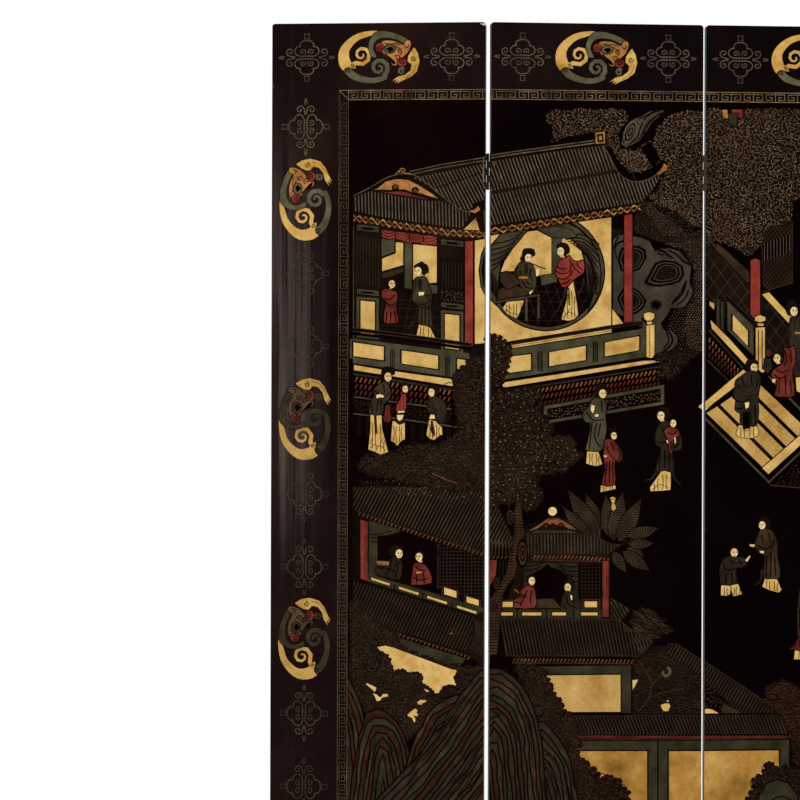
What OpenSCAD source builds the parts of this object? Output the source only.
// Folding lacquer screen of six leaves that stand on the floor in a shallow zigzag.
// Each leaf is a wooden panel of boards in a frame, with a coat of gesso and lacquer on
// its front and back. Two butt hinges join each pair of neighbouring leaves.
// X runs to the viewer's right, Y away from the viewer and Z up. The origin is on the
// floor, in the middle of the box around the standing screen.

/* [Leaves] */
// Width of each leaf
leaf_w = 427; // [360:1:520]
// Height of each leaf
leaf_h = 2130; // [1700:5:2600]
// Thickness of the wooden core
core_t = 17; // [16:0.5:24]
// Thickness of the gesso and lacquer on each face
lacquer_t = 2.5; // [1.5:0.1:4]
// Radius of the corners of a leaf
corner_r = 6; // [2:0.5:12]

/* [Frame and boards] */
// Width of the upright stiles
stile_w = 40; // [34:1:60]
// Height of the top and bottom rails
rail_h = 60; // [50:1:100]
// Number of upright boards in a leaf
board_count = 3; // [2:1:5]
// Thickness of the tongues on boards and of the tenons on rails
tongue_t = 6; // [4:0.5:7]
// Length of the tongues on boards
tongue_len = 8; // [5:0.5:12]
// Length of the tenons on rails
tenon_len = 25; // [15:1:30]
// Height of the shoulder above and below a tenon
tenon_shoulder = 12; // [8:1:18]
// Diameter of the bamboo pegs between boards
peg_d = 6; // [4:0.5:8]
// Length of the bamboo pegs
peg_len = 40; // [24:1:60]
// Number of pegs in each joint between boards
peg_count = 3; // [2:1:6]
// Distance of the end pegs from the rails
peg_inset = 250; // [100:10:400]

/* [Hinges] */
// Gap between neighbouring leaves when flat
hinge_gap = 6; // [5.8:0.1:8]
// Distance of the pin's axis outside the face of the leaf
pin_proud = 2; // [1:0.1:3]
// Height of a hinge
hinge_h = 70; // [50:1:110]
// Distance of a hinge's middle from the top or bottom of the leaf
hinge_inset = 295; // [200:5:400]
// Thickness of the hinge plates
plate_t = 2; // [1.5:0.1:3]
// Width of the hinge plates across the edge of the leaf
plate_w = 17; // [14:0.5:18]
// Outer radius of the knuckles
knuckle_r = 2.8; // [2.4:0.1:2.8]
// Number of knuckles in a hinge
knuckle_count = 5; // [3:2:7]
// Gap between knuckles along the pin
knuckle_gap = 0.3; // [0.2:0.1:0.6]
// Diameter of the hinge pin
pin_d = 3; // [2:0.1:3.4]
// Height of the rounded-over heads of the pin
pin_head_h = 1.2; // [0.8:0.1:2]
// Radius of the pin's heads
pin_head_r = 2.3; // [2:0.1:2.7]

/* [Screws] */
// Number of screws in a hinge plate
screw_count = 3; // [2:1:4]
// Length of the screws
screw_len = 16; // [10:1:25]
// Diameter of the screw shanks
screw_d = 3; // [2:0.1:4]
// Diameter of the countersunk screw heads
screw_head_d = 5.6; // [4.6:0.1:6.5]
// Distance of the end screws from the ends of the plate
screw_inset = 10; // [7:0.5:14]

/* [Clearances] */
// Radial clearance of a pin, peg or screw in its hole
fit_gap = 0.05; // [0.02:0.01:0.1]
// Clearance around tongues, tenons and let-in plates
joint_gap = 0.1; // [0.05:0.05:0.3]

/* [Stance] */
// Turn of leaf 1, with its right edge nearer the viewer as positive
turn_1 = 7; // [3:0.5:12]
// Turn of leaf 2
turn_2 = -7; // [-12:0.5:-3]
// Turn of leaf 3
turn_3 = -6.6; // [-7:0.1:-3]
// Turn of leaf 4
turn_4 = -9; // [-14:0.5:-7]
// Turn of leaf 5
turn_5 = 10; // [5:0.5:14]
// Turn of leaf 6
turn_6 = -7; // [-12:0.5:-3]

/* [Hidden] */
$fn = 48;
over = 1; // how far a cutting shape runs past the face it cuts
turns = [turn_1, turn_2, turn_3, turn_4, turn_5, turn_6];
leaf_count = len(turns);
leaf_t = core_t + 2 * lacquer_t;
pin_off = leaf_t / 2 + pin_proud;
field_w = leaf_w - 2 * stile_w;
field_h = leaf_h - 2 * rail_h;
board_w = (field_w - (board_count + 1) * joint_gap) / board_count;
knuckle_h = (hinge_h - (knuckle_count - 1) * knuckle_gap) / knuckle_count;
hinge_feet = [hinge_inset - hinge_h / 2, leaf_h - hinge_inset - hinge_h / 2];
slot_w = 0.7;
slot_deep = 0.6;
head_rim = 0.3;

function spread(count, low, high) = [for (i = [0:count - 1]) low + i * (high - low) / (count - 1)];
peg_heights = spread(peg_count, rail_h + peg_inset, leaf_h - rail_h - peg_inset);
screw_heights = spread(screw_count, screw_inset, hinge_h - screw_inset);

// Hinges 1, 3 and 5 fold the backs together, so their pins stand behind the screen. The
// others fold the fronts together and have their pins in front.
function pin_side(j) = j % 2 == 1 ? 1 : -1;
function along(k) = [cos(turns[k - 1]), -sin(turns[k - 1])];
function across(k) = [sin(turns[k - 1]), cos(turns[k - 1])];
function leaf_start(k) =
    k == 1 ? [0, 0]
    : pin_at(k - 1) + hinge_gap / 2 * along(k) - pin_side(k - 1) * pin_off * across(k);
function pin_at(j) =
    leaf_start(j) + (leaf_w + hinge_gap / 2) * along(j) + pin_side(j) * pin_off * across(j);
corners = [
    for (k = [1:leaf_count], u = [0, leaf_w], v = [-leaf_t / 2, leaf_t / 2])
        leaf_start(k) + u * along(k) + v * across(k)
];
function middle(i) =
    (min([for (corner = corners) corner[i]]) + max([for (corner = corners) corner[i]])) / 2;

leaf_pieces = ["boards", "pegs", "stiles", "rails", "front_lacquer", "back_lacquer", "screws"];
hinge_pieces = ["left_plates", "right_plates", "pins"];

// Turns a leaf's own frame to its place: x along the leaf, y from its front to its back
module on_leaf(k) {
    start = leaf_start(k);
    translate([start[0] - middle(0), start[1] - middle(1), 0]) rotate([0, 0, -turns[k - 1]]) children();
}

// In a leaf's own frame: puts a hinge at its pin's axis, with its plate towards -x and the
// leaf's face at y = -pin_proud
module at_leaf_pin(j, right_leaf) {
    translate([right_leaf ? -hinge_gap / 2 : leaf_w + hinge_gap / 2, pin_side(j) * pin_off, 0])
        mirror([right_leaf ? 1 : 0, 0, 0]) mirror([0, pin_side(j) == 1 ? 0 : 1, 0])
            for (foot = hinge_feet) translate([0, 0, foot]) children();
}

module at_pin(j, right_leaf) {
    on_leaf(right_leaf ? j + 1 : j) at_leaf_pin(j, right_leaf) children();
}

module leaf_outline() {
    translate([corner_r, corner_r]) square([leaf_w - 2 * corner_r, leaf_h - 2 * corner_r]);
    translate([corner_r, 0]) square([leaf_w - 2 * corner_r, leaf_h]);
    translate([0, corner_r]) square([leaf_w, leaf_h - 2 * corner_r]);
    for (x = [corner_r, leaf_w - corner_r], z = [corner_r, leaf_h - corner_r])
        translate([x, z]) circle(r = corner_r);
}

// A sheet of the leaf's outline that starts at y and is t thick
module leaf_sheet(y, t) {
    translate([0, y + t, 0]) rotate([90, 0, 0]) linear_extrude(t) leaf_outline();
}

// A screw from its head's face down to its tip, or the hole for it with some clearance
module screw_shape(clearance) {
    head_r = screw_head_d / 2 + clearance;
    shank_r = screw_d / 2 + clearance;
    cone_end = head_rim + head_r - shank_r;
    tip = screw_len + clearance;
    rotate_extrude() polygon([
        [0, 0], [head_r, 0], [head_r, -head_rim], [shank_r, -cone_end],
        [shank_r, shank_r - tip], [0, -tip]
    ]);
}

// Screws point to -x from the face of the plate
module at_screws() {
    for (z = screw_heights)
        translate([-hinge_gap / 2, -pin_proud - plate_w / 2, z]) rotate([0, 90, 0]) children();
}

// The room that a plate and its screws take in the edge of a leaf
module plate_room() {
    translate([-hinge_gap / 2 - plate_t, -pin_proud - plate_w - joint_gap, -joint_gap])
        cube([plate_t + over, plate_w + joint_gap + over, hinge_h + 2 * joint_gap]);
    at_screws() screw_shape(fit_gap);
}

// Every plate's room on a leaf
module leaf_hinge_rooms(k) {
    if (k > 1) at_leaf_pin(k - 1, true) plate_room();
    if (k < leaf_count) at_leaf_pin(k, false) plate_room();
}

module board(i) {
    left_tongue = i == 0 ? tongue_len : 0;
    right_tongue = i == board_count - 1 ? tongue_len : 0;
    x = stile_w + joint_gap + i * (board_w + joint_gap);
    translate([x, -core_t / 2, rail_h + joint_gap]) cube([board_w, core_t, field_h - 2 * joint_gap]);
    translate([x - left_tongue, -tongue_t / 2, rail_h + joint_gap])
        cube([board_w + left_tongue + right_tongue, tongue_t, field_h - 2 * joint_gap]);
    translate([x, -tongue_t / 2, rail_h + joint_gap - tongue_len])
        cube([board_w, tongue_t, field_h - 2 * joint_gap + 2 * tongue_len]);
}

module at_pegs() {
    for (i = [1:board_count - 1], z = peg_heights)
        translate([stile_w + joint_gap / 2 + i * (board_w + joint_gap), 0, z]) rotate([0, 90, 0]) children();
}

module boards(k) {
    color("burlywood") on_leaf(k) difference() {
        for (i = [0:board_count - 1]) board(i);
        at_pegs() cylinder(d = peg_d + 2 * fit_gap, h = peg_len + 2 * joint_gap, center = true);
    }
}

module pegs(k) {
    color("khaki") on_leaf(k) at_pegs() cylinder(d = peg_d, h = peg_len, center = true);
}

// The rails' tenons with one end at x, or the mortises for them with some clearance
module rail_tenons(x, clearance) {
    tenon_h = rail_h - 2 * tenon_shoulder;
    for (foot = [0, leaf_h - rail_h])
        translate([x - clearance, -tongue_t / 2 - clearance, foot + tenon_shoulder - clearance])
            cube([tenon_len + 2 * clearance, tongue_t + 2 * clearance, tenon_h + 2 * clearance]);
}

module stiles(k) {
    groove_t = tongue_t + 2 * joint_gap;
    groove_deep = tongue_len + joint_gap;
    color("#2a1c18") on_leaf(k) difference() {
        intersection() {
            leaf_sheet(-core_t / 2, core_t);
            for (x = [0, leaf_w - stile_w])
                translate([x, -core_t / 2, 0]) cube([stile_w, core_t, leaf_h]);
        }
        for (x = [stile_w - groove_deep, leaf_w - stile_w - over])
            translate([x, -groove_t / 2, rail_h]) cube([groove_deep + over, groove_t, field_h]);
        rail_tenons(stile_w - tenon_len, joint_gap);
        rail_tenons(leaf_w - stile_w, joint_gap);
        leaf_hinge_rooms(k);
    }
}

module rails(k) {
    groove_t = tongue_t + 2 * joint_gap;
    groove_deep = tongue_len + joint_gap;
    rail_len = field_w - 2 * joint_gap;
    color("#33231c") on_leaf(k) difference() {
        union() {
            for (foot = [0, leaf_h - rail_h])
                translate([stile_w + joint_gap, -core_t / 2, foot]) cube([rail_len, core_t, rail_h]);
            rail_tenons(stile_w - tenon_len + joint_gap, 0);
            rail_tenons(leaf_w - stile_w - joint_gap, 0);
        }
        for (z = [rail_h - groove_deep, leaf_h - rail_h - over])
            translate([stile_w - over, -groove_t / 2, z])
                cube([field_w + 2 * over, groove_t, groove_deep + over]);
    }
}

module front_lacquer(k) {
    color("#1c1415") on_leaf(k) difference() {
        leaf_sheet(-leaf_t / 2, lacquer_t);
        leaf_hinge_rooms(k);
    }
}

module back_lacquer(k) {
    color("#17110f") on_leaf(k) difference() {
        leaf_sheet(core_t / 2, lacquer_t);
        leaf_hinge_rooms(k);
    }
}

module screws(k) {
    color("#5a5148") on_leaf(k) {
        if (k > 1) at_leaf_pin(k - 1, true) screw_set();
        if (k < leaf_count) at_leaf_pin(k, false) screw_set();
    }
}

module screw_set() {
    at_screws() difference() {
        screw_shape(0);
        translate([-screw_head_d, -slot_w / 2, -slot_deep])
            cube([2 * screw_head_d, slot_w, slot_deep + over]);
    }
}

// A plate with every second knuckle, from the first or from the second one
module hinge_plate(first_knuckle) {
    difference() {
        union() {
            translate([-hinge_gap / 2 - plate_t, -pin_proud - plate_w, 0]) cube([plate_t, plate_w, hinge_h]);
            for (i = [first_knuckle:2:knuckle_count - 1])
                translate([0, 0, i * (knuckle_h + knuckle_gap)]) {
                    cylinder(r = knuckle_r, h = knuckle_h);
                    translate([-hinge_gap / 2 - plate_t, -pin_proud, 0])
                        cube([hinge_gap / 2 + plate_t, pin_proud, knuckle_h]);
                }
        }
        translate([0, 0, -over]) cylinder(r = pin_d / 2 + fit_gap, h = hinge_h + 2 * over);
        at_screws() screw_shape(fit_gap);
    }
}

module left_plates(j) {
    color("#6d5638") at_pin(j, false) hinge_plate(0);
}

module right_plates(j) {
    color("#6d5638") at_pin(j, true) hinge_plate(1);
}

// The pin's ends are hammered over into flat heads, a knuckle gap clear of the end knuckles
module pins(j) {
    color("#7d6844") at_pin(j, false) {
        translate([0, 0, -knuckle_gap]) cylinder(d = pin_d, h = hinge_h + 2 * knuckle_gap);
        for (z = [-knuckle_gap - pin_head_h, hinge_h + knuckle_gap])
            translate([0, 0, z]) cylinder(r = pin_head_r, h = pin_head_h);
    }
}

for (k = [1:leaf_count]) {
    boards(k);
    pegs(k);
    stiles(k);
    rails(k);
    front_lacquer(k);
    back_lacquer(k);
    screws(k);
}
for (j = [1:leaf_count - 1]) {
    left_plates(j);
    right_plates(j);
    pins(j);
}
